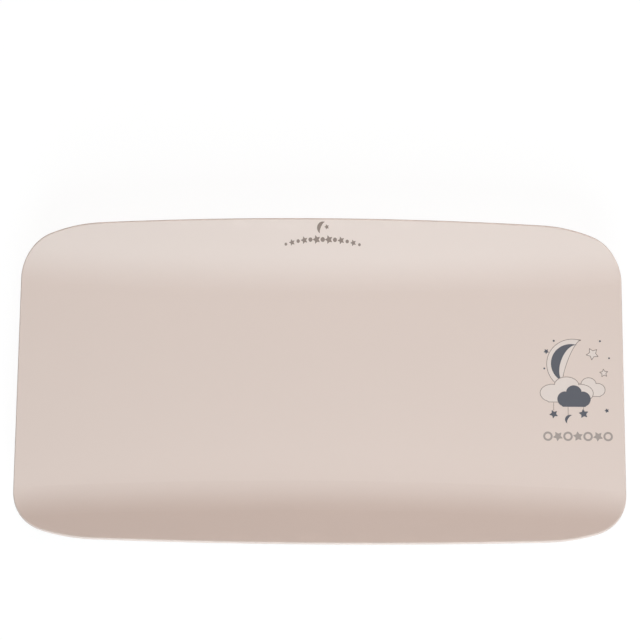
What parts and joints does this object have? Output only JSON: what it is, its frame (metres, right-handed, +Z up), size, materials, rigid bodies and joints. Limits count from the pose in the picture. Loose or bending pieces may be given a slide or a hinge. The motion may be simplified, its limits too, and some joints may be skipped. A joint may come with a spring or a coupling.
{
  "type": "digital baby weighing scale",
  "caption": "Table-top baby scale: a long curved trough tray on a low housing with a sloping display and button panel, load-cell feet and a battery bay.",
  "frame": {"origin": "on the table, under the middle of the tray", "axes": "+X along the tray, the user and the display on the -Y side, +Z up"},
  "size_m": [0.55, 0.302, 0.0664],
  "materials": {
    "tray_plastic": "satin moulded, warm beige",
    "housing_plastic": "fine textured moulding, warm beige",
    "clear_lens": "polished tinted acrylic",
    "lcd_glass": "polished display glass",
    "light_guide": "white diffuser",
    "frame_plastic": "satin moulded",
    "strip_rubber": "layered contact rubber",
    "circuit_board": "solder mask over fibreglass",
    "chip_plastic": "moulded epoxy",
    "connector_plastic": "natural nylon",
    "screw_steel": "zinc plated",
    "switch_plastic": "moulded",
    "gauge_sealant": "cured silicone",
    "button_plastic": "satin moulded slate grey",
    "load_cell_steel": "nickel plated plate",
    "carrier_plastic": "moulded",
    "foot_rubber": "moulded rubber",
    "sensor_lead": "insulated lead",
    "battery_wrap": "shrink film, unmarked",
    "spring_steel": "nickel plated wire",
    "contact_plate": "nickel plated strip",
    "battery_lead": "insulated lead"
  },
  "bodies": {
    "scale": {"tray": "tray_plastic", "base_shell": "housing_plastic", "display_lens": "clear_lens", "lcd_glass": "lcd_glass", "lcd_backlight": "light_guide", "lcd_frame": "frame_plastic", "lcd_elastomer_strips": "strip_rubber", "main_pcb": "circuit_board", "controller_chips": "chip_plastic", "sensor_connector": "connector_plastic", "pcb_screws": "screw_steel", "tact_switch_bodies": "switch_plastic", "strain_gauges": "gauge_sealant", "battery_1": "battery_wrap", "battery_2": "battery_wrap", "battery_3": "battery_wrap", "battery_springs": "spring_steel", "battery_contacts": "contact_plate", "battery_leads": "battery_lead", "housing_screws": "screw_steel", "load_cell_front_left": "load_cell_steel", "foot_carrier_front_left": "carrier_plastic", "foot_pad_front_left": "foot_rubber", "load_cell_lead_front_left": "sensor_lead", "load_cell_front_right": "load_cell_steel", "foot_carrier_front_right": "carrier_plastic", "foot_pad_front_right": "foot_rubber", "load_cell_lead_front_right": "sensor_lead", "load_cell_rear_left": "load_cell_steel", "foot_carrier_rear_left": "carrier_plastic", "foot_pad_rear_left": "foot_rubber", "load_cell_lead_rear_left": "sensor_lead", "load_cell_rear_right": "load_cell_steel", "foot_carrier_rear_right": "carrier_plastic", "foot_pad_rear_right": "foot_rubber", "load_cell_lead_rear_right": "sensor_lead"},
    "power_button": {"power_button": "button_plastic", "power_switch_plunger": "switch_plastic"},
    "unit_button": {"unit_button": "button_plastic", "unit_switch_plunger": "switch_plastic"},
    "hold_button": {"hold_button": "button_plastic", "hold_switch_plunger": "switch_plastic"},
    "tare_button": {"tare_button": "button_plastic", "tare_switch_plunger": "switch_plastic"},
    "battery_door": {"battery_door": "housing_plastic"}
  },
  "joints": [
    {"name": "power_press", "type": "slide", "parent": "scale", "child": "power_button", "axis": [0, 0.788, -0.6157], "range_m": [0, 0.0007], "stiffness_N_per_m": 2200, "springref_m": -0.0002},
    {"name": "unit_press", "type": "slide", "parent": "scale", "child": "unit_button", "axis": [0, 0.788, -0.6157], "range_m": [0, 0.0007], "stiffness_N_per_m": 2200, "springref_m": -0.0002},
    {"name": "hold_press", "type": "slide", "parent": "scale", "child": "hold_button", "axis": [0, 0.788, -0.6157], "range_m": [0, 0.0007], "stiffness_N_per_m": 2200, "springref_m": -0.0002},
    {"name": "tare_press", "type": "slide", "parent": "scale", "child": "tare_button", "axis": [0, 0.788, -0.6157], "range_m": [0, 0.0007], "stiffness_N_per_m": 2200, "springref_m": -0.0002},
    {"name": "battery_door_hinge", "type": "hinge", "parent": "scale", "child": "battery_door", "pos_m": [-0.0307, 0.025, 0.0075], "axis": [0, 1, 0], "range_deg": [0, 80]}
  ]
}
